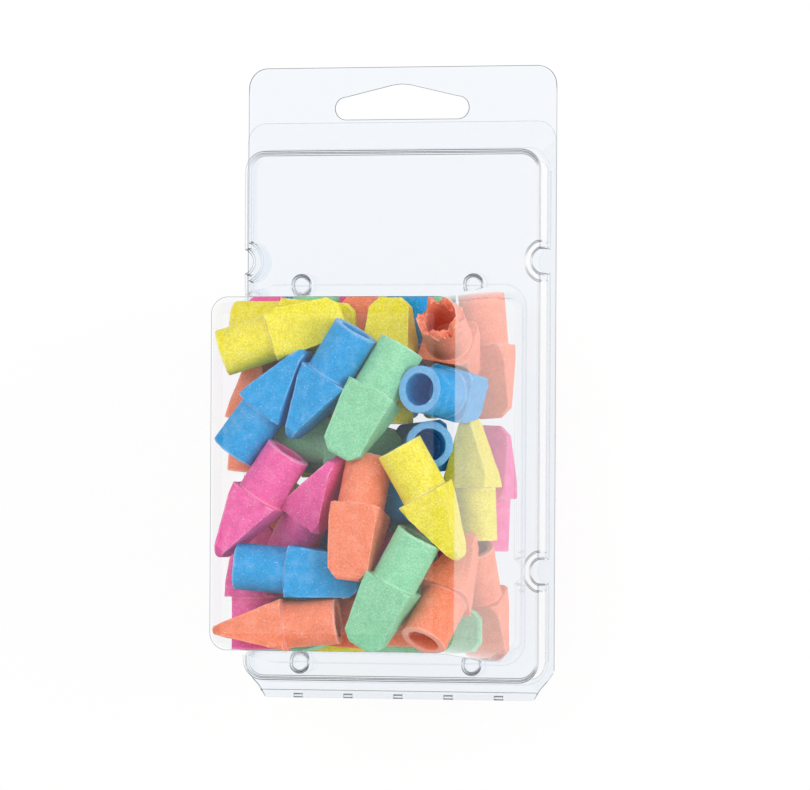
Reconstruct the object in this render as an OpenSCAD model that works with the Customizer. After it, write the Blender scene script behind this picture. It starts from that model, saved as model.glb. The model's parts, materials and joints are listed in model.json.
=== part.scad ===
// Clear clamshell pack with a hang tab, full of rubber pencil caps.
// It lies on its back: X runs across, Y up the pack to the hang tab, Z out of its front.
// The pack is sized from the inside out: caps, room for the pile, blister, plateau, flange.

/* [Film] */
// Thickness of the formed plastic film
film = 0.4; // [0.3:0.05:0.6]
// Gap between the two flanges when the pack is shut
flange_gap = 0.1; // [0.05:0.05:0.3]
// Gap between the back's plug and the inside of the front's plateau
plug_gap = 0.3; // [0.2:0.05:0.5]

/* [Cap] */
// Diameter of the sleeve that slips over a pencil
sleeve_d = 10.6; // [10:0.1:12]
// Length of the sleeve
sleeve_l = 12; // [10:0.5:13]
// Diameter of the sleeve's bore, a firm fit on a pencil
bore_d = 7.3; // [6.8:0.1:7.8]
// Depth of the bore
bore_l = 11; // [8:0.5:14]
// Side of the square end of the head, where it stands proud of the sleeve
head_w = 11.7; // [11:0.1:12.5]
// Length of the head, from its ledge to its chisel edge
head_l = 16.5; // [14:0.5:18]
// Width of the chisel edge
tip_w = 9.5; // [8:0.5:11]
// Thickness of the chisel edge
tip_t = 2.2; // [1.6:0.1:3]

/* [Blister] */
// Inside width of the blister at its front face
room_w = 56.2; // [54:0.2:62]
// Inside length of the blister at its front face
room_l = 78.4; // [76:0.2:86]
// Depth of the room for the caps, from the plug's face to the front
room_d = 48; // [46:0.2:52]
// Radius of the blister's corners at its foot
blister_foot_r = 5.5; // [4.5:0.5:8]
// Radius of the blister's front edges and front corners
blister_front_r = 4; // [2:0.5:5]
// Draft of the blister's walls, in degrees
blister_draft = 4.7; // [3:0.1:7]

/* [Plateau] */
// Height of the plateau above the flange
plateau_h = 7; // [5:0.5:10]
// Flat land beside the blister
side_land = 3.1; // [2.5:0.1:6]
// Flat land below the blister, on the hinge side
hinge_land = 4.1; // [3:0.1:8]
// Flat header above the blister
header_l = 31; // [26:0.5:45]
// Corner radius of the plateau
plateau_r = 4.8; // [3:0.2:8]
// Draft of the plateau's walls, in degrees
plateau_draft = 4.2; // [3:0.1:8]

/* [Flange] */
// Width of the flange beside the plateau
flange_side = 1.1; // [0.8:0.1:4]
// Width of the flange above the plateau
flange_top = 6.2; // [4:0.2:10]
// Width of the flange below the plateau
flange_bottom = 2; // [1.5:0.1:4]
// Radius of the front flange's top corners
flange_r = 4.4; // [2:0.2:8]
// Length of the back's hang tab above the front flange
tab_l = 12.8; // [11:0.2:20]
// Radius of the tab's corners
tab_r = 4.6; // [2:0.2:8]

/* [Hinge] */
// Length of the tongue between the flange and the fold
tongue_l = 1.65; // [1.2:0.05:3]
// Height of the cut corners at the flange's hinge end
cut_l = 5; // [3.5:0.5:8]
// Width of a crease block on the tongue
crease_w = 2.1; // [1:0.1:4]
// Height of a crease block
crease_h = 0.4; // [0.2:0.1:0.8]
// Number of crease blocks
crease_count = 5; // [3:1:7]

/* [Studs and scoops] */
// Diameter of the round studs at the blister's foot
stud_d = 4.9; // [3:0.1:7]
// Height of the studs above the plateau
stud_h = 4; // [2:0.5:6]
// Distance between the studs of a pair
stud_pitch = 41.2; // [30:0.2:44]
// Width of the half-round finger scoops in the plateau's sides
scoop_w = 5.5; // [4:0.1:9]
// Depth of the scoops
scoop_d = 2; // [1:0.1:2.4]
// Distance from the blister's foot up to the upper scoops
scoop_rise = 5.4; // [4.5:0.1:18]
// Distance between the upper and the lower scoops
scoop_pitch = 71; // [60:0.5:76]

/* [Hang hole] */
// Width of the hang hole
hole_w = 32.2; // [28:0.2:40]
// Height of the hang hole at its ends
hole_h = 5.2; // [4:0.1:6]
// Height of the hang hole's peak above its shoulders
peak_h = 2.9; // [2:0.1:4]
// Height of the hang hole's lower edge above the front flange
hole_rise = 0.7; // [0.5:0.1:4]

/* [Hidden] */
$fn = 64;
hull_fn = 32;
bite = 1;               // how far a cutting form reaches past the face it cuts

// The pile was laid out for this cap (sleeve, head and length) in this room (width, length
// and depth), over a plug at this height. It grows and shrinks with the caps, and where the
// room is too small for it, pile and caps are drawn smaller to fit.
LAID_CAP = [10.6, 11.7, 28.5];
LAID_ROOM = [56.2, 78.4, 48];
LAID_PLUG_Z = 7.2;
CAP_SIZES = [sleeve_d, head_w, sleeve_l + head_l];
ROOM_SIZES = [room_w, room_l, room_d];
grown = max([for (i = [0:2]) CAP_SIZES[i] / LAID_CAP[i]]);
fit = min(1, min([for (i = [0:2]) ROOM_SIZES[i] / (LAID_ROOM[i] * grown)]));
pile_scale = grown * fit;
cap_l = (sleeve_l + head_l) * fit;

// Heights, from the floor up
flange_z = film + flange_gap;
hinge_z = film + flange_gap / 2;
land_z = flange_z + film;
plateau_z = land_z + plateau_h;
plug_z = plateau_z - film - plug_gap;
room_top_z = plug_z + room_d;
front_z = room_top_z + film;

// Half widths, from the blister out
blister_rise = front_z - plateau_z;
blister_slope = blister_rise * tan(blister_draft);
plateau_slope = plateau_h * tan(plateau_draft);
front_x = room_w / 2 + film;
foot_x = front_x + blister_slope;
face_x = foot_x + side_land;
base_x = face_x + plateau_slope;
flange_x = base_x + flange_side;

// Lengths, measured from the end of the tongue
front_half_l = room_l / 2 + film;
foot_half_l = front_half_l + blister_slope;
face_y0 = tongue_l + flange_bottom + plateau_slope;
blister_y = face_y0 + hinge_land + foot_half_l;
face_y1 = blister_y + foot_half_l + header_l;
front_l = face_y1 + plateau_slope + flange_top;
pack_l = front_l + tab_l;
scoop_y1 = blister_y + foot_half_l + scoop_rise;
hole_y = front_l + hole_rise;

// The scoop's circle, from its chord and its depth
scoop_r = (pow(scoop_w / 2, 2) + pow(scoop_d, 2)) / (2 * scoop_d);
scoop_x = face_x + scoop_r - scoop_d;
// The plug leaves a wider notch round a scoop, because it swings out past it.
notch_room = 1;

// Crease blocks stand near the end of the tongue, evenly spaced between its sides.
crease_l = tongue_l / 2;
crease_margin = 13;
crease_pitch = 2 * (flange_x - crease_margin) / (crease_count - 1);
crease_inset = 0.1;

// The cut corners at the hinge end: their width, how far the tongue flares, and the points of
// their curve as shares of their width and height
cut_w = 0.13 * flange_x;
tongue_flare = 1;
CUT_CURVE = [[0.66, 0.2], [0.37, 0.5]];

// The hang hole's peak is flattened over this half width, at this share of its height.
peak_flat = 2;
peak_share = 0.93;

// The head's long corners are rounded off by a cylinder with this share of its width as radius.
head_round = 0.63;

Y = "yellow";
B = "blue";
G = "green";
P = "pink";
O = "orange";

// The caps, layer by layer: place of the middle from the blister's axis and the floor,
// heading of the tip, its tilt up, the roll about its own axis and the colour.
FRONT_CAPS = [
    [-13.6, 31.4, 46.6, 18, -10, 0, Y],
    [-3, 20.1, 49, -122, 0, 90, B],
    [-15.7, 16.2, 49, 53, 0, 90, B],
    [7.8, 16.3, 48.8, -118, 12, 0, G],
    [23.4, 18.1, 37.8, -14, -76, 0, B],
    [-19.2, -6.9, 49, -124, 0, 90, P],
    [-7.3, -7, 42.9, 54, 25, 90, P],
    [5.1, -10.1, 48.4, -96, 15.5, 0, O],
    [21.4, -6.3, 47.2, -62, -9, 90, Y],
    [-9.2, -22, 47.6, -5, -9, 0, B],
    [12.6, -26.3, 49, -119, 0, 0, G],
    [-14.4, -34.1, 47.5, -175, 7, 90, O],
    [23.4, -25.9, 38.7, 72, -32, 90, O],
];
UPPER_CAPS = [
    [-14, 33.8, 35.6, 0, 0, 0, Y],
    [8.5, 25.6, 36.1, 90, 0, 0, Y],
    [21, 29.2, 31, -100, -61, 0, O],
    [-2.9, 7, 36.6, -8, -6, 0, G],
    [-23, 14.5, 36.8, 85, 0, 90, O],
    [5.8, -5.4, 35, 176, 0, 0, B],
    [-23.2, -25.6, 36.1, 90, 0, 0, P],
    [3.5, -19.2, 36.6, 188, 0, 90, P],
    [1.5, -33.5, 36.2, 180, 0, 0, O],
    [13.9, 5.9, 28.2, -172, -67, 0, B],
];
LOWER_CAPS = [
    [-24, 27, 25, 90, 0, 0, P],
    [-12.7, 26.6, 24.8, -90, 0, 90, G],
    [-1.4, 26.8, 25.2, 90, 0, 0, O],
    [9.8, 27, 25, -90, 0, 90, B],
    [-15.5, 6, 25.2, 178, 0, 0, G],
    [-24, -14.7, 25.2, -90, 0, 0, O],
    [-12, -14.7, 25.2, 92, 0, 90, B],
    [-0.5, -14.7, 25.2, -90, 0, 0, P],
    [11, -15, 24.7, 90, 0, 90, G],
    [-14.5, -35.3, 25.2, 0, 0, 90, G],
    [24.5, -0.8, 24.7, 92, 0, 90, Y],
    [14, -35.3, 25.8, 0, 10, 0, G],
];
BACK_CAPS = [
    [-24.5, 27, 13.1, 90, 0, 0, B],
    [-12.5, 27, 13.1, -90, 0, 90, P],
    [-0.5, 27, 13.1, 90, 0, 0, Y],
    [11.5, 27, 13.1, -90, 0, 90, G],
    [24.3, 27, 13.1, -85, 0, 0, O],
    [-16, 5, 13.1, 0, 0, 0, Y],
    [-24.5, -15.5, 13.1, 90, 0, 0, G],
    [-12.5, -15.5, 13.1, -90, 0, 90, O],
    [-1, -15.5, 13.1, 90, 0, 0, B],
    [11, -22, 13.1, -90, 0, 90, P],
    [24.8, -3, 13.1, 88, 0, 0, P],
    [-16.5, -36.2, 13.1, 180, 0, 0, Y],
    [24.5, -29.7, 17.8, -88, -26, 0, O],
];
CAPS = concat(FRONT_CAPS, UPPER_CAPS, LOWER_CAPS, BACK_CAPS);

function cap_name(i) = str("cap_", i < 9 ? "0" : "", i + 1);

// Points of an arc
function arc(x, y, r, a0, a1, steps) =
    [for (i = [0:steps]) let (a = a0 + (a1 - a0) * i / steps) [x + r * cos(a), y + r * sin(a)]];

// Everything is drawn from the end of the tongue, then moved so that the middle is at 0.
module centred() {
    translate([0, -pack_l / 2, 0]) children();
}

// Outline of a flange: cut corners and tongue at the hinge end, round corners at the top
module flange_outline(l, r) {
    translate([-flange_x, tongue_l + cut_l]) square([2 * flange_x, l - r - tongue_l - cut_l]);
    translate([-flange_x + r, tongue_l]) square([2 * (flange_x - r), l - tongue_l]);
    for (s = [-1, 1]) translate([s * (flange_x - r), l - r]) circle(r);
    half = [
        [flange_x - cut_w, 0],
        [flange_x - cut_w + tongue_flare, tongue_l],
        for (p = CUT_CURVE) [flange_x - p[0] * cut_w, tongue_l + p[1] * cut_l],
        [flange_x, tongue_l + cut_l],
    ];
    polygon(concat(half, [for (i = [len(half) - 1:-1:0]) [-half[i][0], half[i][1]]]));
}

// Plateau or plug: a drafted block between two heights, shrunk by an inset
module plateau_form(z0, z1, inset) {
    slope = tan(plateau_draft);
    r = plateau_r - inset;
    mid_y = (face_y0 + face_y1) / 2;
    half_l = (face_y1 - face_y0) / 2;
    grow = (plateau_z - z0) * slope;
    drop = (plateau_z - z1) * slope;
    hull() for (sx = [-1, 1], sy = [-1, 1])
        translate([sx * (face_x - plateau_r), mid_y + sy * (half_l - plateau_r), z0])
            cylinder(h = z1 - z0, r1 = r + grow, r2 = r + drop, $fn = hull_fn);
}

module scoops(z0, z1, r) {
    for (sx = [-1, 1], y = [scoop_y1, scoop_y1 - scoop_pitch])
        translate([sx * scoop_x, y, z0]) cylinder(h = z1 - z0, r = r);
}

// Blister: drafted walls from a foot with round corners up to round front edges
module blister_form(z0, inset) {
    foot_r = blister_foot_r - inset;
    front_r = blister_front_r - inset;
    top = front_z - inset;
    foot_drop = (plateau_z - z0) * tan(blister_draft);
    x0 = foot_x - blister_foot_r + foot_drop;
    l0 = foot_half_l - blister_foot_r + foot_drop;
    x1 = front_x - blister_front_r + blister_front_r * tan(blister_draft) / 2;
    l1 = front_half_l - blister_front_r + blister_front_r * tan(blister_draft) / 2;
    hull() for (sx = [-1, 1], sy = [-1, 1]) {
        translate([sx * x0, blister_y + sy * l0, z0])
            cylinder(h = film / 4, r = foot_r, $fn = hull_fn);
        translate([sx * x1, blister_y + sy * l1, top - front_r]) rotate_extrude($fn = hull_fn)
            polygon(concat([[0, 0]], arc(0, 0, front_r, 0, 90, 8)));
    }
}

module studs(z0, d, h) {
    lead = film;
    for (sx = [-1, 1], sy = [-1, 1])
        translate([sx * stud_pitch / 2, blister_y + sy * foot_half_l, z0]) {
            cylinder(h = h - lead, d = d);
            translate([0, 0, h - lead]) cylinder(h = lead, d1 = d, d2 = d - 2 * lead);
        }
}

module crease_blocks() {
    for (i = [0:crease_count - 1])
        translate([(i - (crease_count - 1) / 2) * crease_pitch - crease_w / 2, crease_inset, land_z])
            cube([crease_w, crease_l, crease_h]);
}

module hang_hole() {
    r = hole_h / 2;
    end_x = hole_w / 2 - r;
    translate([-end_x, 0]) square([2 * end_x, hole_h]);
    for (s = [-1, 1]) translate([s * end_x, r]) circle(r);
    polygon([
        [-end_x, hole_h],
        [-peak_flat, hole_h + peak_share * peak_h],
        [0, hole_h + peak_h],
        [peak_flat, hole_h + peak_share * peak_h],
        [end_x, hole_h],
    ]);
}

// Front half: flange, plateau, studs and blister, formed from one sheet
module front_shell() {
    color([0.86, 0.9, 0.94, 0.35]) centred() difference() {
        union() {
            translate([0, 0, flange_z]) linear_extrude(film) flange_outline(front_l, flange_r);
            difference() {
                plateau_form(flange_z, plateau_z, 0);
                scoops(land_z, plateau_z + bite, scoop_r);
            }
            blister_form(plateau_z - film, 0);
            studs(plateau_z, stud_d, stud_h);
            crease_blocks();
        }
        difference() {
            plateau_form(flange_z - bite, plateau_z - film, film);
            scoops(flange_z - 2 * bite, plateau_z, scoop_r + film);
        }
        blister_form(plateau_z - 2 * film, film);
        studs(plateau_z - 2 * film, stud_d - 2 * film, stud_h + film);
    }
}

// Back half: flange with the hang tab, and a shallow plug that closes the front's plateau
module back_shell() {
    wall = film + plug_gap;
    color([0.82, 0.87, 0.92, 0.35]) centred() difference() {
        union() {
            linear_extrude(film) flange_outline(pack_l, tab_r);
            difference() {
                plateau_form(0, plug_z, wall);
                scoops(film, plug_z + bite, scoop_r + wall + notch_room);
            }
        }
        difference() {
            plateau_form(-bite, plug_z - film, wall + film);
            scoops(-2 * bite, plug_z, scoop_r + wall + notch_room + film);
        }
        translate([0, hole_y, -bite]) linear_extrude(film + 2 * bite) hang_hole();
    }
}

// Pencil cap: a bored sleeve and a square head drawn down to a chisel edge
module cap_blank() {
    sleeve = sleeve_l * fit;
    sleeve_r = sleeve_d * fit / 2;
    half_w = head_w * fit / 2;
    half_tip = tip_w * fit / 2;
    tip_r = tip_t * fit / 2;
    tip_corner = tip_t * fit;
    difference() {
        union() {
            rotate([0, 90, 0]) cylinder(h = sleeve + bite / 2, r = sleeve_r);
            intersection() {
                rotate([90, 0, 0]) linear_extrude(2 * half_w, center = true) union() {
                    polygon([
                        [sleeve, -half_w],
                        [cap_l - tip_r, -tip_r],
                        [cap_l - tip_r, tip_r],
                        [sleeve, half_w],
                    ]);
                    translate([cap_l - tip_r, 0]) circle(tip_r);
                }
                linear_extrude(2 * half_w, center = true) polygon([
                    [sleeve, -half_w],
                    [cap_l - tip_corner, -half_tip],
                    [cap_l, tip_corner - half_tip],
                    [cap_l, half_tip - tip_corner],
                    [cap_l - tip_corner, half_tip],
                    [sleeve, half_w],
                ]);
                rotate([0, 90, 0]) cylinder(h = cap_l, r = head_round * 2 * half_w);
            }
        }
        translate([-bite, 0, 0]) rotate([0, 90, 0])
            cylinder(h = bore_l * fit + bite, d = bore_d * fit);
    }
}

function cap_colour(name) =
    name == Y ? [0.92, 0.88, 0.16] :
    name == B ? [0.2, 0.6, 0.86] :
    name == G ? [0.48, 0.79, 0.52] :
    name == P ? [0.9, 0.28, 0.6] : [0.96, 0.5, 0.36];

module cap(i) {
    c = CAPS[i];
    above_plug = c[2] - LAID_PLUG_Z;
    color(cap_colour(c[6])) centred()
        translate([c[0] * pile_scale, blister_y + c[1] * pile_scale, plug_z + above_plug * pile_scale])
            rotate([0, 0, c[3]]) rotate([0, -c[4], 0]) rotate([c[5], 0, 0])
                translate([-cap_l / 2, 0, 0]) cap_blank();
}

front_shell();
back_shell();
for (i = [0:len(CAPS) - 1]) cap(i);
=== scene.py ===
"""Clear clamshell pack with a hang tab, full of rubber pencil caps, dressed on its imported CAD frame."""

import json
import math

import bmesh
import bpy
from mathutils import Matrix, Vector, noise

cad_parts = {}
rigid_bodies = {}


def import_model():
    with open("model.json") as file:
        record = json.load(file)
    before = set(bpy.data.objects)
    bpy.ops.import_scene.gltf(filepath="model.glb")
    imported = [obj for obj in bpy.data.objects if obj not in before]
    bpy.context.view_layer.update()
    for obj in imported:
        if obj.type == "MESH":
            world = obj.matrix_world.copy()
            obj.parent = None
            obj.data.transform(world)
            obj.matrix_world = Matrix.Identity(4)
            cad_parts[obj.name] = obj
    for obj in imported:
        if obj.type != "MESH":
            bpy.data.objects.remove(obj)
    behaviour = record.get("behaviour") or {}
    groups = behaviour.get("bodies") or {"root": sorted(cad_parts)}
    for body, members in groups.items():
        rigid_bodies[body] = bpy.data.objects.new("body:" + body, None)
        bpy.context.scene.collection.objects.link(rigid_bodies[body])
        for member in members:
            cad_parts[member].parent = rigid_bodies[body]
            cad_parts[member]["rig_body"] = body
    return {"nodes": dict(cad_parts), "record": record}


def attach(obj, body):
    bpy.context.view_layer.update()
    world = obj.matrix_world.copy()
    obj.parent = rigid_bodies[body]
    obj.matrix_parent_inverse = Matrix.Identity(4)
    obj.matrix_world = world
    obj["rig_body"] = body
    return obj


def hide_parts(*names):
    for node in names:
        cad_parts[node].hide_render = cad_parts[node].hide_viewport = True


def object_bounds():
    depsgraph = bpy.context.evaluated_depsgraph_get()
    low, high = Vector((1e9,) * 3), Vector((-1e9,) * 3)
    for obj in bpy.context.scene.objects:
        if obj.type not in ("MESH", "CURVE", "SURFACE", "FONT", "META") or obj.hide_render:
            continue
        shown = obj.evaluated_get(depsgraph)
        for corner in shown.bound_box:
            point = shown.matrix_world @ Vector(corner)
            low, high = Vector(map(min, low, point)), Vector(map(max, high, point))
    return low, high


bl_info = {
    "name": "Clamshell pack of pencil caps",
    "version": (1, 0, 0),
    "blender": (4, 5, 0),
    "location": "3D View > Sidebar > Pack",
    "description": "Clear film shells, a pile of rubber caps and a plain pale stage",
    "category": "Object",
}

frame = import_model()
CAD_LO, CAD_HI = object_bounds()

MM = 0.001
SHELLS = ("front_shell", "back_shell")
CAPS = sorted(name for name in frame["nodes"] if name.startswith("cap_"))
TORN_CAP = "cap_16"
NODE_SLOTS = {row["node"]: row["material_slot"] for row in frame["record"]["subparts"]}
COLOURS = ("yellow", "blue", "green", "pink", "orange")

# Where along the pack the hinge's tongue begins. The camera is placed from there.
FOLD_Y = -71.26 * MM

# The film's materials, in the order of their slots
OUTSIDE, INSIDE, BEND, FOOT, RIM, CURVE = range(6)

# How far film turns from the eye, from 0 (square on) to 1 (edge on), where its tint and its painted shade
# or reflection change
WALL_TURNS = (0.4, 0.7)
BEND_TURNS = (0, 0.35, 0.8)
CURVE_TURNS = (0.1, 0.68, 0.84)
RIM_TURNS = (0, 1)
# How far film leans to the pack's ends where its painted end shade begins and is full
END_SHADE_LEANS = (0.1, 0.5)

# Points of a mesh that are nearer than the first are one, and level within the second
JOIN_REACH = 0.001 * MM
LEVEL_REACH = 0.01 * MM

# Angles over an edge of the film: flat, within a curve, a bend, a cut rim, shaded sharp
FILM_FLAT = math.radians(0.5)
CURVE_LEAST = math.radians(2)
CURVE_MOST = math.radians(28)
FILM_BEND = math.radians(30)
FILM_RIM = math.radians(60)
FILM_SHARP = math.radians(40)
# How strongly large faces set the shading of the walls, out of 100
WALL_WEIGHT = 90
# How far up a face looks, as the height of its normal: a cut rim, an inside, an upright wall
RIM_TILT = 0.05
INSIDE_TILT = 0.02
UPRIGHT_TILT = 0.12

# Angles over an edge of a cap: flat, worn, rounded
CAP_FLAT = math.radians(1)
CAP_WORN = math.radians(20)
CAP_CORNER = math.radians(25)
# Least cosine between normals along the same line
SAME_WAY = 0.9999
# Rounds of splitting that a cap's edges get at most
MOST_SPLITS = 8
# Seed of the noise's own offsets, and its shift from one cap to the next
NOISE_SEED = 1
SEED_STEP = 7.3
# Fall-off, lacunarity and octaves of the torn mouth's noise
TEAR_NOISE = (1, 2, 3)

# Where in the mottling the rubber's dark, plain and pale tones lie
TONE_PLACES = (0.32, 0.5, 0.68)
# Bands of the noise that makes the grain, of the one that makes the dust, and of the wear
GRAIN_BAND = (0.35, 0.65)
DUST_BAND = (0.66, 0.74)
WEAR_BAND = (0.7, 1.0)
# Share of white in dust and worn edges
CHALK_LEVEL = 0.6
# Strength and depth of the fine pits, and the rubber's specular level
PIT_STRENGTH = 0.3
PIT_DEPTH = 0.12 * MM
RUBBER_SPECULAR = 0.3

WHITE = (1, 1, 1, 1)
# Metres, from the middle of the pack's back
LAMP_PLACE = (-0.3, 0.25, 1.0)
FILL_PLACE = (0.95, 0.1, 0.45)
LAMP_AIM = (0, 0, 0.02)
LAMP_SIZE = 0.7
FLOOR_DROP = 0.1 * MM
# How far the camera stands to the right of the fold's middle and above it, in its own axes
CAMERA_SHIFT = (1.32 * MM, 68.41 * MM)
SENSOR_WIDTH = 36
CLIP_END = 20

# What colours and lengths that a user sets have in common
COLOUR = {"subtype": "COLOR", "size": 3, "min": 0, "max": 1}
LENGTH = {"subtype": "DISTANCE", "unit": "LENGTH"}


# Materials


def new_material(name):
    """An empty node material and its tree."""
    material = bpy.data.materials.new(name)
    material.use_nodes = True
    material.node_tree.nodes.clear()
    return material, material.node_tree


def add_node(tree, kind, inputs=None, **settings):
    """A shader node with its own settings made and its sockets set."""
    node = tree.nodes.new(kind)
    for key, value in settings.items():
        setattr(node, key, value)
    for socket, value in (inputs or {}).items():
        node.inputs[socket].default_value = value
    return node


def add_band(tree, band, levels=(0, 1), blend="LINEAR"):
    """A node that turns a band of values into levels, even or smooth between its ends."""
    sockets = {"From Min": band[0], "From Max": band[1], "To Min": levels[0], "To Max": levels[1]}
    return add_node(tree, "ShaderNodeMapRange", sockets, interpolation_type=blend)


def add_ramp(tree, places, colours):
    """A colour ramp with a colour at each place."""
    ramp = add_node(tree, "ShaderNodeValToRGB")
    stops = ramp.color_ramp.elements
    while len(stops) < len(places):
        stops.new(1.0)
    for stop, at, colour in zip(stops, places, colours):
        stop.position = at
        stop.color = (*colour, 1)
    return ramp


def add_noise(tree, place, scale, detail):
    """Noise over a place that a socket gives."""
    speckle = add_node(tree, "ShaderNodeTexNoise", {"Scale": scale, "Detail": detail})
    tree.links.new(place, speckle.inputs["Vector"])
    return speckle


def paler(colour, share):
    """A colour with a share of white in it."""
    return [channel + (1 - channel) * share for channel in colour]


def film_material(name, look, tints, shine, ends=(1, 1, 1)):
    """Clear film that tints what shows through it, by how far it turns away, and shines.
    Where the tints darken at bends, rims and curves they are painted shade, and where they lighten
    at a slant a painted reflection, standing for the film's refraction and mirroring.
    Lamps and light from all round pass it almost unhindered. Tints holds turns, then colours.
    Ends is a further painted shade where the film faces the pack's ends."""
    material, tree = new_material(name)
    link = tree.links.new
    out = add_node(tree, "ShaderNodeOutputMaterial")
    place = add_node(tree, "ShaderNodeTexCoord")
    facing = add_node(tree, "ShaderNodeLayerWeight", {"Blend": 0.5})
    ramp = add_ramp(tree, *tints)
    # Painted shade: film that faces the pack's ends is darkened further, by its normal alone
    lean = add_node(tree, "ShaderNodeSeparateXYZ")
    lengthways = add_node(tree, "ShaderNodeMath", operation="ABSOLUTE")
    to_end = add_band(tree, END_SHADE_LEANS, blend="SMOOTHSTEP")
    tinted = add_node(tree, "ShaderNodeMix", {"B": (*ends, 1)}, data_type="RGBA", blend_type="MULTIPLY")
    clear = add_node(tree, "ShaderNodeBsdfTransparent")
    stretch = add_node(tree, "ShaderNodeMapping", {"Scale": (1, look.ripple_stretch, 1)})
    ripple = add_noise(tree, stretch.outputs["Vector"], look.ripple_scale, detail=1)
    bump = add_node(tree, "ShaderNodeBump", {"Strength": 1.0, "Distance": look.ripple_depth})
    gloss = add_node(tree, "ShaderNodeBsdfGlossy", {"Roughness": look.film_roughness})
    fresnel = add_node(tree, "ShaderNodeFresnel", {"IOR": look.film_ior})
    side = add_node(tree, "ShaderNodeNewGeometry")
    outside = add_node(tree, "ShaderNodeMath", operation="SUBTRACT", use_clamp=True)
    both_faces = add_node(tree, "ShaderNodeMath", {1: shine}, operation="MULTIPLY", use_clamp=True)
    film = add_node(tree, "ShaderNodeMixShader")
    rays = add_node(tree, "ShaderNodeLightPath")
    passing = add_node(tree, "ShaderNodeMath", operation="MAXIMUM")
    open_film = add_node(tree, "ShaderNodeBsdfTransparent", {"Color": (*look.film_shadow, 1)})
    shaded = add_node(tree, "ShaderNodeMixShader")
    link(facing.outputs["Facing"], ramp.inputs["Fac"])
    link(place.outputs["Normal"], lean.inputs["Vector"])
    link(lean.outputs["Y"], lengthways.inputs[0])
    link(lengthways.outputs["Value"], to_end.inputs["Value"])
    link(to_end.outputs["Result"], tinted.inputs["Factor"])
    link(ramp.outputs["Color"], tinted.inputs["A"])
    link(tinted.outputs["Result"], clear.inputs["Color"])
    link(tinted.outputs["Result"], gloss.inputs["Color"])
    link(place.outputs["Object"], stretch.inputs["Vector"])
    link(ripple.outputs["Fac"], bump.inputs["Height"])
    link(bump.outputs["Normal"], gloss.inputs["Normal"])
    link(fresnel.outputs["Fac"], outside.inputs[0])
    link(side.outputs["Backfacing"], outside.inputs[1])
    link(outside.outputs["Value"], both_faces.inputs[0])
    link(both_faces.outputs["Value"], film.inputs["Fac"])
    link(clear.outputs["BSDF"], film.inputs[1])
    link(gloss.outputs["BSDF"], film.inputs[2])
    link(rays.outputs["Is Shadow Ray"], passing.inputs[0])
    link(rays.outputs["Is Diffuse Ray"], passing.inputs[1])
    link(passing.outputs["Value"], shaded.inputs["Fac"])
    link(film.outputs["Shader"], shaded.inputs[1])
    link(open_film.outputs["BSDF"], shaded.inputs[2])
    link(shaded.outputs["Shader"], out.inputs["Surface"])
    return material


def rubber_material(name, look, colour):
    """Moulded rubber: matt and mottled, with fine pits, pale dust and worn, chalky edges."""
    material, tree = new_material(name)
    link = tree.links.new
    out = add_node(tree, "ShaderNodeOutputMaterial")
    place = add_node(tree, "ShaderNodeTexCoord")
    here = place.outputs["Object"]
    mottle = add_noise(tree, here, look.mottle_scale, detail=5)
    deep = [channel * look.mottle_dark for channel in colour]
    tones = add_ramp(tree, TONE_PLACES, (deep, colour, paler(colour, look.mottle_pale)))
    grain = add_noise(tree, here, look.grain_scale, detail=3)
    grainy = add_band(tree, GRAIN_BAND, (1 - look.grain_level, 1))
    grained = add_node(tree, "ShaderNodeMix", {"Factor": 1.0}, data_type="RGBA", blend_type="MULTIPLY")
    dust = add_noise(tree, here, look.dust_scale, detail=2)
    specks = add_band(tree, DUST_BAND, (0, look.dust_level))
    corners = add_node(tree, "ShaderNodeAttribute", attribute_name="worn")
    wear = add_band(tree, WEAR_BAND, (0, look.wear_level))
    powder = add_node(tree, "ShaderNodeMath", operation="ADD", use_clamp=True)
    chalk = (*paler(colour, CHALK_LEVEL), 1)
    chalky = add_node(tree, "ShaderNodeMix", {"B": chalk}, data_type="RGBA")
    pits = add_noise(tree, here, look.pit_scale, detail=4)
    bump = add_node(tree, "ShaderNodeBump", {"Strength": PIT_STRENGTH, "Distance": PIT_DEPTH})
    rubber = add_node(
        tree,
        "ShaderNodeBsdfPrincipled",
        {"Roughness": look.rubber_roughness, "Specular IOR Level": RUBBER_SPECULAR},
    )
    link(mottle.outputs["Fac"], tones.inputs["Fac"])
    link(dust.outputs["Fac"], specks.inputs["Value"])
    link(corners.outputs["Fac"], wear.inputs["Value"])
    link(specks.outputs["Result"], powder.inputs[0])
    link(wear.outputs["Result"], powder.inputs[1])
    link(powder.outputs["Value"], chalky.inputs["Factor"])
    link(grain.outputs["Fac"], grainy.inputs["Value"])
    link(tones.outputs["Color"], grained.inputs["A"])
    link(grainy.outputs["Result"], grained.inputs["B"])
    link(grained.outputs["Result"], chalky.inputs["A"])
    link(chalky.outputs["Result"], rubber.inputs["Base Color"])
    link(pits.outputs["Fac"], bump.inputs["Height"])
    link(bump.outputs["Normal"], rubber.inputs["Normal"])
    link(rubber.outputs["BSDF"], out.inputs["Surface"])
    return material


# Pieces


def merged_copy(node):
    """A CAD node's mesh with its loose triangles joined up."""
    bm = bmesh.new()
    bm.from_mesh(frame["nodes"][node].data)
    bmesh.ops.remove_doubles(bm, verts=bm.verts, dist=JOIN_REACH)
    return bm


def new_piece(name, bm, node, material):
    """The piece that stands for a CAD node, riding on the node's body."""
    mesh = bpy.data.meshes.new(name)
    bm.to_mesh(mesh)
    bm.free()
    mesh.materials.append(material)
    piece = bpy.data.objects.new(name, mesh)
    bpy.context.scene.collection.objects.link(piece)
    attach(piece, frame["nodes"][node]["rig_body"])
    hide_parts(node)
    return piece


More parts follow.
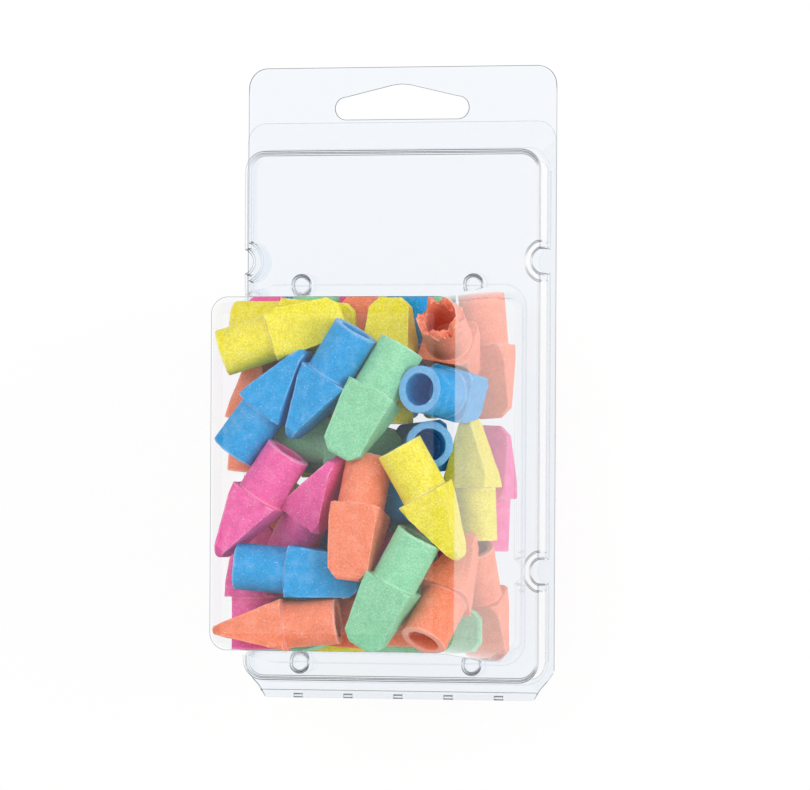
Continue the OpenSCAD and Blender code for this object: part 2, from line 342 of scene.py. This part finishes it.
def turn_of(edge):
    """The angle by which the surface turns over an edge."""
    return edge.calc_face_angle(0) if len(edge.link_faces) == 2 else math.pi


def smooth_but_sharp(bm, angle):
    """Shades faces smooth and keeps the edges that turn by more than the angle sharp."""
    for face in bm.faces:
        face.smooth = True
    for edge in bm.edges:
        edge.smooth = turn_of(edge) < angle


def bevelled(bm, edges, width, steps):
    """Rounds edges of a bmesh and gives the new faces."""
    made = bmesh.ops.bevel(
        bm,
        geom=edges,
        offset=width,
        offset_type="OFFSET",
        segments=steps,
        profile=0.5,
        affect="EDGES",
        material=-1,
        clamp_overlap=False,
    )
    return made["faces"]


def fresh_copy(bm):
    """The same mesh in new memory. Rounding edges leaves gaps there that differ from run to
    run, and what is made next would fill them in another order each time."""
    fresh = bm.copy()
    bm.free()
    return fresh


def flat_walls(piece):
    """Keeps the shading of flat walls flat between rounded bends."""
    flat = piece.modifiers.new("flat walls", "WEIGHTED_NORMAL")
    flat.mode = "FACE_AREA"
    flat.weight = WALL_WEIGHT
    flat.keep_sharp = True


def fold_crease(bm, look):
    """Raises a fine crease across the flange where the hinge's tongue begins."""
    for shift in (-1, 0, 1):
        bmesh.ops.bisect_plane(
            bm,
            geom=[*bm.verts, *bm.edges, *bm.faces],
            plane_co=(0, look.crease_place + shift * look.crease_width / 2, 0),
            plane_no=(0, 1, 0),
        )
    line = [vert for vert in bm.verts if abs(vert.co.y - look.crease_place) < LEVEL_REACH]
    middle = (min(vert.co.z for vert in line) + max(vert.co.z for vert in line)) / 2
    for vert in line:
        if vert.co.z > middle:
            vert.co.z += look.crease_height


def film_shell(node, look, materials, outer):
    """One half of the pack as smooth film with rounded bends and a fine cut rim.
    Outer is +1 where the film's outer side looks up, -1 where it looks down."""
    bm = merged_copy(node)
    bmesh.ops.dissolve_limit(bm, angle_limit=FILM_FLAT, verts=bm.verts, edges=bm.edges)
    if outer > 0:
        fold_crease(bm, look)
    bm.normal_update()
    low = min(vert.co.z for vert in bm.verts)
    rim_faces = [
        face
        for face in bm.faces
        if abs(face.normal.z) < RIM_TILT
        and max(vert.co.z for vert in face.verts) < low + look.rim_height
    ]
    rim_edges = {edge for face in rim_faces for edge in face.edges if turn_of(edge) > FILM_RIM}
    for face in bm.faces:
        longest = max(edge.calc_length() for edge in face.edges)
        narrow = face.calc_area() < look.facet_width * longest
        curved = any(CURVE_LEAST < turn_of(edge) < CURVE_MOST for edge in face.edges)
        tilt = face.normal.z * outer
        upright = tilt < UPRIGHT_TILT and longest > look.upright_height
        if tilt < INSIDE_TILT:
            face.material_index = INSIDE
        elif narrow and curved and not upright:
            face.material_index = CURVE
        else:
            face.material_index = OUTSIDE
    for face in rim_faces:
        face.material_index = RIM
    bends = [edge for edge in bm.edges if turn_of(edge) > FILM_BEND and edge not in rim_edges]
    made = bevelled(bm, bends, look.bend_width, steps=3)
    bm.normal_update()
    for face in made:
        turns = [edge.calc_face_angle_signed(0) for edge in face.edges if len(edge.link_faces) == 2]
        ridge = (max(turns, key=abs) > 0) == (face.normal.z > 0)
        face.material_index = BEND if ridge else FOOT
    rim_edges = [edge for edge in rim_edges if edge.is_valid]
    for face in bevelled(bm, rim_edges, look.rim_width, steps=1):
        face.material_index = RIM
    for vert in bm.verts:
        vert.co = [min(max(at, lo), hi) for at, lo, hi in zip(vert.co, CAD_LO, CAD_HI)]
    smooth_but_sharp(bm, FILM_SHARP)
    piece = new_piece(node.replace("shell", "film"), bm, node, materials[0])
    for material in materials[1:]:
        piece.data.materials.append(material)
    flat_walls(piece)


def refined(bm, longest):
    """Splits edges until none is longer than a limit."""
    bmesh.ops.triangulate(bm, faces=bm.faces)
    for _ in range(MOST_SPLITS):
        long_edges = [edge for edge in bm.edges if edge.calc_length() > longest]
        if not long_edges:
            return
        bmesh.ops.subdivide_edges(bm, edges=long_edges, cuts=1)
        bmesh.ops.triangulate(bm, faces=[face for face in bm.faces if len(face.verts) > 3])


def mouth_of(bm):
    """The centre of a cap's mouth and the way from it to the tip."""
    flats = [(face.normal.copy(), len(face.verts)) for face in bm.faces]
    axis = max(
        (normal for normal, _ in flats),
        key=lambda way: sum(count for normal, count in flats if abs(way.dot(normal)) > SAME_WAY),
    )
    depths = [vert.co.dot(axis) for vert in bm.verts]
    ends = [
        [vert.co for vert in bm.verts if abs(vert.co.dot(axis) - level) < LEVEL_REACH]
        for level in (min(depths), max(depths))
    ]
    mouth = max(ends, key=len)
    if mouth is ends[1]:
        axis = -axis
    return sum(mouth, Vector()) / len(mouth), axis


def rubber_cap(node, look, material):
    """A pencil cap with the crisp but uneven edges and the soft dents of moulded rubber."""
    bm = merged_copy(node)
    bmesh.ops.dissolve_limit(bm, angle_limit=CAP_FLAT, verts=bm.verts, edges=bm.edges)
    torn = node == TORN_CAP
    if torn:
        centre, axis = mouth_of(bm)
    corners = [edge for edge in bm.edges if turn_of(edge) > CAP_CORNER]
    bevelled(bm, corners, look.corner_width, steps=2)
    bm = fresh_copy(bm)
    refined(bm, look.tear_facet if torn else look.cap_facet)
    bm.normal_update()
    seed = Vector((int(node[-2:]) * SEED_STEP, 0, 0))
    worn = bm.verts.layers.float.new("worn")
    for edge in bm.edges:
        if turn_of(edge) > CAP_WORN:
            for vert in edge.verts:
                vert[worn] = 1
    moves = []
    for vert in bm.verts:
        dent = noise.noise(vert.co / look.dent_size + seed) * look.dent_depth
        wander = noise.noise_vector(vert.co / look.wander_size + seed) * look.edge_wander
        move = vert.normal * dent + wander * vert[worn]
        if torn:
            depth = (vert.co - centre).dot(axis)
            across = vert.co - centre - depth * axis
            tear = look.tear_depth * (0.5 + noise.fractal(across / look.tear_size, *TEAR_NOISE))
            move += axis * max(0, tear - depth)
        moves.append(move)
    for vert, move in zip(bm.verts, moves):
        vert.co += move
    for face in bm.faces:
        face.smooth = True
    piece = new_piece("rubber_" + node, bm, node, material)
    flat_walls(piece)


# Sizes and colours that a user would change


class PackLook(bpy.types.PropertyGroup):
    """Looks of the film and the rubber."""

    film_ior: bpy.props.FloatProperty(
        name="Film IOR",
        description="Index of refraction of the film",
        default=1.42,
        min=1.0,
        max=2.5,
    )
    film_shine: bpy.props.FloatProperty(
        name="Film shine",
        description="Share of one face's reflection that the film's two faces give together",
        default=2.0,
        min=0.0,
        max=2.0,
    )
    inner_shine: bpy.props.FloatProperty(
        name="Inner shine",
        description="The same share on the film's side towards the caps",
        default=0.2,
        min=0.0,
        max=2.0,
    )
    ripple_scale: bpy.props.FloatProperty(
        name="Ripple scale",
        description="Scale of the ripples along the film",
        default=700,
        min=1,
        max=9000,
    )
    ripple_stretch: bpy.props.FloatProperty(
        name="Ripple stretch",
        description="Scale of the ripples lengthways, against crossways",
        default=0.04,
        min=0,
    )
    ripple_depth: bpy.props.FloatProperty(
        name="Ripple depth",
        description="Depth of the ripples along the film",
        default=0.02 * MM,
        min=0,
        max=1 * MM,
        **LENGTH,
    )
    film_roughness: bpy.props.FloatProperty(
        name="Film roughness",
        description="Roughness of the film's gloss",
        default=0.05,
        min=0.0,
        max=1.0,
    )
    front_tint: bpy.props.FloatVectorProperty(
        name="Front tint",
        description="Colour of light that passes one face of the front film",
        default=(0.996, 0.997, 0.999),
        **COLOUR,
    )
    back_tint: bpy.props.FloatVectorProperty(
        name="Back tint",
        description="Colour of light that passes one face of the back film",
        default=(0.952, 0.969, 0.987),
        **COLOUR,
    )
    # At a slant the film passes light almost untinted, lighter than the back film's tint: a painted
    # reflection of the bright surroundings that slanted film mirrors
    slant_reflection_tint: bpy.props.FloatVectorProperty(
        name="Steep tint",
        description="Colour of light that passes one face of film seen at a slant",
        default=(0.992, 0.995, 0.998),
        **COLOUR,
    )
    # Painted shade: the film's curves darken, down to near black where seen edge on, standing for the
    # dark lines that their refraction draws
    curve_tint: bpy.props.FloatVectorProperty(
        name="Curve tint",
        description="Colour of light that passes one face of the film's curves",
        default=(0.96, 0.963, 0.968),
        **COLOUR,
    )
    outline: bpy.props.FloatVectorProperty(
        name="Outline",
        description="Colour of light that passes one face of film seen edge on",
        default=(0.4, 0.43, 0.46),
        **COLOUR,
    )
    # Painted shade: the film's bends darken in their middle, standing for the light that a bend refracts
    # away; the front's ridges darkest
    front_bend_shade: bpy.props.FloatVectorProperty(
        name="Front bends",
        description="Colour of light that passes one face of the front film in the middle of a bend",
        default=(0.42, 0.45, 0.49),
        **COLOUR,
    )
    back_bend_shade: bpy.props.FloatVectorProperty(
        name="Back bends",
        description="Colour of light that passes one face of the back film in the middle of a bend",
        default=(0.84, 0.86, 0.88),
        **COLOUR,
    )
    # Painted shade at the foot of a wall, paler than on the ridges
    foot_bend: bpy.props.FloatVectorProperty(
        name="Foot bends",
        description="Colour of light that passes the film at the foot of a wall",
        default=(0.84, 0.87, 0.9),
        **COLOUR,
    )
    # Painted shade: bends that face the pack's ends are darkened further, whatever the light
    painted_end_shade: bpy.props.FloatVectorProperty(
        name="End bends",
        description="Further colour of the bends that face the pack's ends",
        default=(0.3, 0.31, 0.32),
        **COLOUR,
    )
    facet_width: bpy.props.FloatProperty(
        name="Facet width",
        description="Faces of the film narrower than this belong to its curves",
        default=2.5 * MM,
        min=0,
        max=20 * MM,
        **LENGTH,
    )
    upright_height: bpy.props.FloatProperty(
        name="Upright height",
        description="Upright corners taller than this are shaded like the walls",
        default=5 * MM,
        min=0,
        max=100 * MM,
        **LENGTH,
    )
    crease_place: bpy.props.FloatProperty(
        name="Crease place",
        description="Where along the pack the fold's crease lies",
        default=FOLD_Y,
        **LENGTH,
    )
    crease_width: bpy.props.FloatProperty(
        name="Crease width",
        description="Width of the fold's crease",
        default=0.5 * MM,
        min=0.1 * MM,
        max=2 * MM,
        **LENGTH,
    )
    crease_height: bpy.props.FloatProperty(
        name="Crease height",
        description="Height of the fold's crease",
        default=0.13 * MM,
        min=0,
        max=1 * MM,
        **LENGTH,
    )
    film_shadow: bpy.props.FloatVectorProperty(
        name="Film shadow",
        description="Colour of lamp light that passes one face of the film",
        default=(0.999, 0.999, 1.0),
        **COLOUR,
    )
    # Painted shade: the film's cut rims are darkened, the back's most, standing for the light that a cut
    # edge refracts away
    front_rim_shade: bpy.props.FloatVectorProperty(
        name="Front rim",
        description="Colour of light that passes the front film's cut rim",
        default=(0.8, 0.82, 0.84),
        **COLOUR,
    )
    back_rim_shade: bpy.props.FloatVectorProperty(
        name="Back rim",
        description="Colour of light that passes the back film's cut rim",
        default=(0.33, 0.35, 0.38),
        **COLOUR,
    )
    bend_width: bpy.props.FloatProperty(
        name="Bend width",
        description="How far the film's bends are rounded",
        default=0.25 * MM,
        min=0.05 * MM,
        max=1 * MM,
        **LENGTH,
    )
    rim_width: bpy.props.FloatProperty(
        name="Rim width",
        description="Width of the rounding along the film's cut rim",
        default=0.1 * MM,
        min=0.02 * MM,
        max=0.2 * MM,
        **LENGTH,
    )
    rim_height: bpy.props.FloatProperty(
        name="Rim height",
        description="Greatest height of the film's cut rim above the flange's underside",
        default=0.45 * MM,
        min=0.1 * MM,
        max=1 * MM,
        **LENGTH,
    )
    cap_facet: bpy.props.FloatProperty(
        name="Cap facets",
        description="Longest edge of the facets of a cap",
        default=1.6 * MM,
        min=0.3 * MM,
        max=5 * MM,
        **LENGTH,
    )
    corner_width: bpy.props.FloatProperty(
        name="Cap corners",
        description="How far a cap's corners are rounded",
        default=0.16 * MM,
        min=0.02 * MM,
        max=0.5 * MM,
        **LENGTH,
    )
    edge_wander: bpy.props.FloatProperty(
        name="Edge wander",
        description="How far a cap's edges wander, as moulding left them",
        default=0.12 * MM,
        min=0,
        max=0.5 * MM,
        **LENGTH,
    )
    wander_size: bpy.props.FloatProperty(
        name="Wander size",
        description="Breadth of the wander along a cap's edges",
        default=0.9 * MM,
        min=0.2 * MM,
        max=5 * MM,
        **LENGTH,
    )
    tear_facet: bpy.props.FloatProperty(
        name="Torn facets",
        description="Longest edge of the facets of the torn cap",
        default=0.6 * MM,
        min=0.3 * MM,
        max=5 * MM,
        **LENGTH,
    )
    tear_depth: bpy.props.FloatProperty(
        name="Tear depth",
        description="Depth of the tears in the torn cap's mouth",
        default=4 * MM,
        min=0,
        max=8 * MM,
        **LENGTH,
    )
    tear_size: bpy.props.FloatProperty(
        name="Tear size",
        description="Breadth of the tears in the torn cap's mouth",
        default=2.2 * MM,
        min=0.5 * MM,
        max=8 * MM,
        **LENGTH,
    )
    dent_size: bpy.props.FloatProperty(
        name="Dent size",
        description="Breadth of the dents in a cap",
        default=2.5 * MM,
        min=0.5 * MM,
        max=20 * MM,
        **LENGTH,
    )
    dent_depth: bpy.props.FloatProperty(
        name="Dent depth",
        description="Depth of the dents in a cap",
        default=0.07 * MM,
        min=0,
        max=1 * MM,
        **LENGTH,
    )
    mottle_scale: bpy.props.FloatProperty(
        name="Mottle scale",
        description="Scale of the rubber's mottling",
        default=420,
        min=1,
        max=5000,
    )
    mottle_dark: bpy.props.FloatProperty(
        name="Mottle depth",
        description="Tone of the rubber's darker mottling",
        default=0.9,
        min=0.1,
        max=1,
    )
    mottle_pale: bpy.props.FloatProperty(
        name="Mottle bloom",
        description="Share of white in the rubber's paler mottling",
        default=0.06,
        min=0,
        max=1,
    )
    grain_scale: bpy.props.FloatProperty(
        name="Grain scale",
        description="Scale of the rubber's fine grain",
        default=2400,
        min=1,
        max=9000,
    )
    grain_level: bpy.props.FloatProperty(
        name="Grain",
        description="Depth of the rubber's fine grain",
        default=0.22,
        min=0,
        max=1,
    )
    dust_scale: bpy.props.FloatProperty(
        name="Dust scale",
        description="Scale of the specks of dust",
        default=2600,
        min=1,
        max=9000,
    )
    dust_level: bpy.props.FloatProperty(
        name="Dust",
        description="Strength of the specks of dust",
        default=0.7,
        min=0,
        max=1,
    )
    wear_level: bpy.props.FloatProperty(
        name="Edge wear",
        description="Paleness of worn edges",
        default=0.25,
        min=0,
        max=1,
    )
    pit_scale: bpy.props.FloatProperty(
        name="Pit scale",
        description="Scale of the rubber's fine pits",
        default=1800,
        min=1,
        max=9000,
    )
    rubber_roughness: bpy.props.FloatProperty(
        name="Rubber roughness",
        description="Roughness of the rubber",
        default=0.62,
        min=0,
        max=1,
    )
    yellow: bpy.props.FloatVectorProperty(
        name="Yellow",
        description="Yellow rubber",
        default=(0.87, 0.76, 0.05),
        **COLOUR,
    )
    blue: bpy.props.FloatVectorProperty(
        name="Blue",
        description="Blue rubber",
        default=(0.012, 0.34, 0.73),
        **COLOUR,
    )
    green: bpy.props.FloatVectorProperty(
        name="Green",
        description="Green rubber",
        default=(0.28, 0.68, 0.4),
        **COLOUR,
    )
    pink: bpy.props.FloatVectorProperty(
        name="Pink",
        description="Pink rubber",
        default=(0.88, 0.12, 0.39),
        **COLOUR,
    )
    orange: bpy.props.FloatVectorProperty(
        name="Orange",
        description="Orange rubber",
        default=(0.95, 0.26, 0.14),
        **COLOUR,
    )


class StageLook(bpy.types.PropertyGroup):
    """Floor, lamps and camera."""

    film_layers: bpy.props.IntProperty(
        name="Film layers",
        description="Most clear surfaces that one line of sight may pass",
        default=40,
        min=8,
        max=200,
    )
    floor_size: bpy.props.FloatProperty(
        name="Floor size",
        description="Side of the square floor",
        default=6,
        min=1,
        **LENGTH,
    )
    floor_tone: bpy.props.FloatProperty(
        name="Floor tone",
        description="Tone of the floor",
        default=0.92,
        min=0,
        max=1,
    )
    world_level: bpy.props.FloatProperty(
        name="World level",
        description="Strength of the light from all round",
        default=0.7,
        min=0,
    )
    panel_size: bpy.props.FloatProperty(
        name="Panel size",
        description="Radius of the panel that flat film mirrors to the camera",
        default=0.2,
        min=0,
    )
    panel_blur: bpy.props.FloatProperty(
        name="Panel blur",
        description="Width of the panel's soft edge",
        default=0.08,
        min=0,
    )
    panel_level: bpy.props.FloatProperty(
        name="Panel level",
        description="Strength of the panel in the gloss",
        default=0.8,
        min=0,
    )
    wall_level: bpy.props.FloatProperty(
        name="Wall level",
        description="Strength of the walls round the panel in the gloss",
        default=0.85,
        min=0,
    )
    floor_white: bpy.props.FloatProperty(
        name="Floor white",
        description="Share of plain white in the floor that the camera sees",
        default=0.9,
        min=0,
        max=1,
    )
    lamp_power: bpy.props.FloatProperty(
        name="Lamp power",
        description="Power of the soft lamp above the tab end",
        default=4.0,
        min=0,
        unit="POWER",
    )
    fill_power: bpy.props.FloatProperty(
        name="Fill power",
        description="Power of the soft lamp at the pack's right",
        default=5.2,
        min=0,
        unit="POWER",
    )
    camera_yaw: bpy.props.FloatProperty(
        name="Camera yaw",
        description="Turn of the camera to the pack's right",
        default=math.radians(17),
        subtype="ANGLE",
        unit="ROTATION",
    )
    camera_pitch: bpy.props.FloatProperty(
        name="Camera pitch",
        description="Turn of the camera to the tab end",
        default=math.radians(-0.66),
        subtype="ANGLE",
        unit="ROTATION",
    )
    camera_roll: bpy.props.FloatProperty(
        name="Camera roll",
        description="Roll of the camera",
        default=math.radians(0.3),
        subtype="ANGLE",
        unit="ROTATION",
    )
    camera_away: bpy.props.FloatProperty(
        name="Camera distance",
        description="Distance of the camera along its own axis",
        default=1.595,
        min=0.1,
        **LENGTH,
    )
    camera_lens: bpy.props.FloatProperty(
        name="Camera lens",
        description="Focal length in millimetres",
        default=307.4,
        min=10,
    )


# Operators


class PACK_OT_film(bpy.types.Operator):
    """Dresses the two halves of the pack in clear film"""

    bl_idname = "pack.film"
    bl_label = "Film shells"

    def execute(self, context):
        look = context.scene.pack_look
        halves = (
            ("Front", 1, look.front_tint, look.front_bend_shade, look.front_rim_shade),
            ("Back", -1, look.back_tint, look.back_bend_shade, look.back_rim_shade),
        )
        for node, (name, outer, tint, bend, rim) in zip(SHELLS, halves):
            if node not in frame["nodes"]:
                raise RuntimeError("the frame has no " + node)
            # Walls get a painted reflection at a slant; bends, cut rims and curves get painted shade that
            # stands for the film's refraction
            wall = (WALL_TURNS, (tint, look.slant_reflection_tint))
            ridge = (BEND_TURNS, (tint, bend, look.slant_reflection_tint))
            foot = (BEND_TURNS, (tint, look.foot_bend, look.slant_reflection_tint))
            cut = (RIM_TURNS, (rim, rim))
            curve = (CURVE_TURNS, (look.curve_tint, look.slant_reflection_tint, look.outline))
            materials = (
                film_material(name + " film", look, wall, look.film_shine),
                film_material(name + " film inside", look, wall, look.inner_shine),
                film_material(name + " film bend", look, ridge, look.film_shine, look.painted_end_shade),
                film_material(name + " film foot", look, foot, look.film_shine),
                film_material(name + " film rim", look, cut, look.inner_shine),
                film_material(name + " film curve", look, curve, look.inner_shine),
            )
            film_shell(node, look, materials, outer)
        return {"FINISHED"}


class PACK_OT_caps(bpy.types.Operator):
    """Dresses the pile of rubber pencil caps"""

    bl_idname = "pack.caps"
    bl_label = "Rubber caps"

    def execute(self, context):
        look = context.scene.pack_look
        if not CAPS:
            raise RuntimeError("the frame has no caps")
        noise.seed_set(NOISE_SEED)
        rubbers = {
            "rubber_" + colour: rubber_material("Rubber " + colour, look, getattr(look, colour))
            for colour in COLOURS
        }
        for node in CAPS:
            slot = NODE_SLOTS[node]
            rubber_cap(node, look, rubbers[slot])
        return {"FINISHED"}


class PACK_OT_stage(bpy.types.Operator):
    """Sets up the floor, the world, the lamps and the camera"""

    bl_idname = "pack.stage"
    bl_label = "Stage"

    def execute(self, context):
        look = context.scene.pack_stage
        scene = context.scene
        scene.view_settings.view_transform = "Standard"
        scene.cycles.transparent_max_bounces = look.film_layers
        self.floor(scene, look)
        self.world(scene, look)
        self.lamp(scene, "Soft lamp", LAMP_PLACE, look.lamp_power)
        self.lamp(scene, "Fill lamp", FILL_PLACE, look.fill_power)
        self.camera(scene, look)
        return {"FINISHED"}

    def floor(self, scene, look):
        """A pale floor that the camera sees nearly white, clear from below."""
        bm = bmesh.new()
        bmesh.ops.create_grid(bm, x_segments=1, y_segments=1, size=look.floor_size / 2)
        mesh = bpy.data.meshes.new("floor")
        bm.to_mesh(mesh)
        bm.free()
        material, tree = new_material("Pale floor")
        link = tree.links.new
        out = add_node(tree, "ShaderNodeOutputMaterial")
        matt = add_node(tree, "ShaderNodeBsdfDiffuse", {"Color": (look.floor_tone,) * 3 + (1,)})
        white = add_node(tree, "ShaderNodeEmission", {"Color": WHITE, "Strength": 1.0})
        rays = add_node(tree, "ShaderNodeLightPath")
        seen = add_node(tree, "ShaderNodeMath", operation="MAXIMUM")
        share = add_node(tree, "ShaderNodeMath", {1: look.floor_white}, operation="MULTIPLY")
        both = add_node(tree, "ShaderNodeMixShader")
        under = add_node(tree, "ShaderNodeBsdfTransparent")
        side = add_node(tree, "ShaderNodeNewGeometry")
        mix = add_node(tree, "ShaderNodeMixShader")
        link(rays.outputs["Is Camera Ray"], seen.inputs[0])
        link(rays.outputs["Is Glossy Ray"], seen.inputs[1])
        link(seen.outputs["Value"], share.inputs[0])
        link(share.outputs["Value"], both.inputs["Fac"])
        link(matt.outputs["BSDF"], both.inputs[1])
        link(white.outputs["Emission"], both.inputs[2])
        link(side.outputs["Backfacing"], mix.inputs["Fac"])
        link(both.outputs["Shader"], mix.inputs[1])
        link(under.outputs["BSDF"], mix.inputs[2])
        link(mix.outputs["Shader"], out.inputs["Surface"])
        mesh.materials.append(material)
        floor = bpy.data.objects.new("floor", mesh)
        scene.collection.objects.link(floor)
        floor.location.z = -FLOOR_DROP

    def world(self, scene, look):
        """Plain light from all round. Gloss sees a panel where flat film mirrors it to the
        camera, and walls round it."""
        world = bpy.data.worlds.new("Soft studio")
        world.use_nodes = True
        tree = world.node_tree
        tree.nodes.clear()
        link = tree.links.new
        out = add_node(tree, "ShaderNodeOutputWorld")
        rays = add_node(tree, "ShaderNodeLightPath")
        way = add_node(tree, "ShaderNodeTexCoord")
        off = add_node(
            tree,
            "ShaderNodeVectorMath",
            {1: (-math.sin(look.camera_yaw), 0, math.cos(look.camera_yaw))},
            operation="DISTANCE",
        )
        panel = add_band(
            tree,
            (look.panel_size, look.panel_size + look.panel_blur),
            (look.panel_level, look.wall_level),
            "SMOOTHSTEP",
        )
        shiny = add_node(tree, "ShaderNodeMath", operation="MAXIMUM")
        glossy = add_node(tree, "ShaderNodeMix", {"A": look.world_level}, data_type="FLOAT")
        seen = add_node(tree, "ShaderNodeMix", {"B": 1.0}, data_type="FLOAT")
        back = add_node(tree, "ShaderNodeBackground", {"Color": WHITE})
        link(way.outputs["Generated"], off.inputs[0])
        link(off.outputs["Value"], panel.inputs["Value"])
        link(rays.outputs["Is Glossy Ray"], shiny.inputs[0])
        link(rays.outputs["Is Transmission Ray"], shiny.inputs[1])
        link(shiny.outputs["Value"], glossy.inputs["Factor"])
        link(panel.outputs["Result"], glossy.inputs["B"])
        link(rays.outputs["Is Camera Ray"], seen.inputs["Factor"])
        link(glossy.outputs["Result"], seen.inputs["A"])
        link(seen.outputs["Result"], back.inputs["Strength"])
        link(back.outputs["Background"], out.inputs["Surface"])
        scene.world = world

    def lamp(self, scene, name, place, power):
        """A wide soft lamp that looks at the pack and doesn't show in the gloss."""
        data = bpy.data.lights.new(name, "AREA")
        data.shape = "DISK"
        data.size = LAMP_SIZE
        data.energy = power
        lamp = bpy.data.objects.new(name, data)
        scene.collection.objects.link(lamp)
        lamp.location = place
        aim = Vector(LAMP_AIM) - lamp.location
        lamp.rotation_mode = "QUATERNION"
        lamp.rotation_quaternion = aim.to_track_quat("-Z", "Y")
        lamp.visible_glossy = False

    def camera(self, scene, look):
        """The camera, aimed by its own axes and placed from the fold."""
        back = Vector((
            math.sin(look.camera_yaw) * math.cos(look.camera_pitch),
            math.sin(look.camera_pitch),
            math.cos(look.camera_yaw) * math.cos(look.camera_pitch),
        ))
        right = Vector((math.cos(look.camera_yaw), 0, -math.sin(look.camera_yaw)))
        up = back.cross(right)
        turn = look.camera_roll
        right, up = (
            math.cos(turn) * right + math.sin(turn) * up,
            -math.sin(turn) * right + math.cos(turn) * up,
        )
        axes = Matrix((right, up, back)).transposed()
        place = axes @ Vector((*CAMERA_SHIFT, look.camera_away))
        place.y += FOLD_Y
        data = bpy.data.cameras.new("Camera")
        data.sensor_width = SENSOR_WIDTH
        data.lens = look.camera_lens
        data.clip_end = CLIP_END
        camera = bpy.data.objects.new("Camera", data)
        camera.matrix_world = Matrix.Translation(place) @ axes.to_4x4()
        scene.collection.objects.link(camera)
        scene.camera = camera


class PACK_PT_panel(bpy.types.Panel):
    """Lists the steps that build the pack"""

    bl_idname = "PACK_PT_panel"
    bl_label = "Clamshell pack"
    bl_space_type = "VIEW_3D"
    bl_region_type = "UI"
    bl_category = "Pack"

    def draw(self, context):
        for operator in (PACK_OT_film, PACK_OT_caps, PACK_OT_stage):
            self.layout.operator(operator.bl_idname)
        for group in (context.scene.pack_look, context.scene.pack_stage):
            for name in group.bl_rna.properties.keys():
                if name not in {"rna_type", "name"}:
                    self.layout.prop(group, name)


CLASSES = (PackLook, StageLook, PACK_OT_film, PACK_OT_caps, PACK_OT_stage, PACK_PT_panel)


def register():
    """Registers the classes and hangs the looks on the scene."""
    for cls in CLASSES:
        bpy.utils.register_class(cls)
    bpy.types.Scene.pack_look = bpy.props.PointerProperty(type=PackLook)
    bpy.types.Scene.pack_stage = bpy.props.PointerProperty(type=StageLook)


def unregister():
    """Takes the looks off the scene and unregisters the classes."""
    del bpy.types.Scene.pack_stage
    del bpy.types.Scene.pack_look
    for cls in reversed(CLASSES):
        bpy.utils.unregister_class(cls)


def main():
    """Builds every piece and the stage."""
    register()
    bpy.ops.pack.film()
    bpy.ops.pack.caps()
    bpy.ops.pack.stage()


if __name__ == "__main__":
    main()
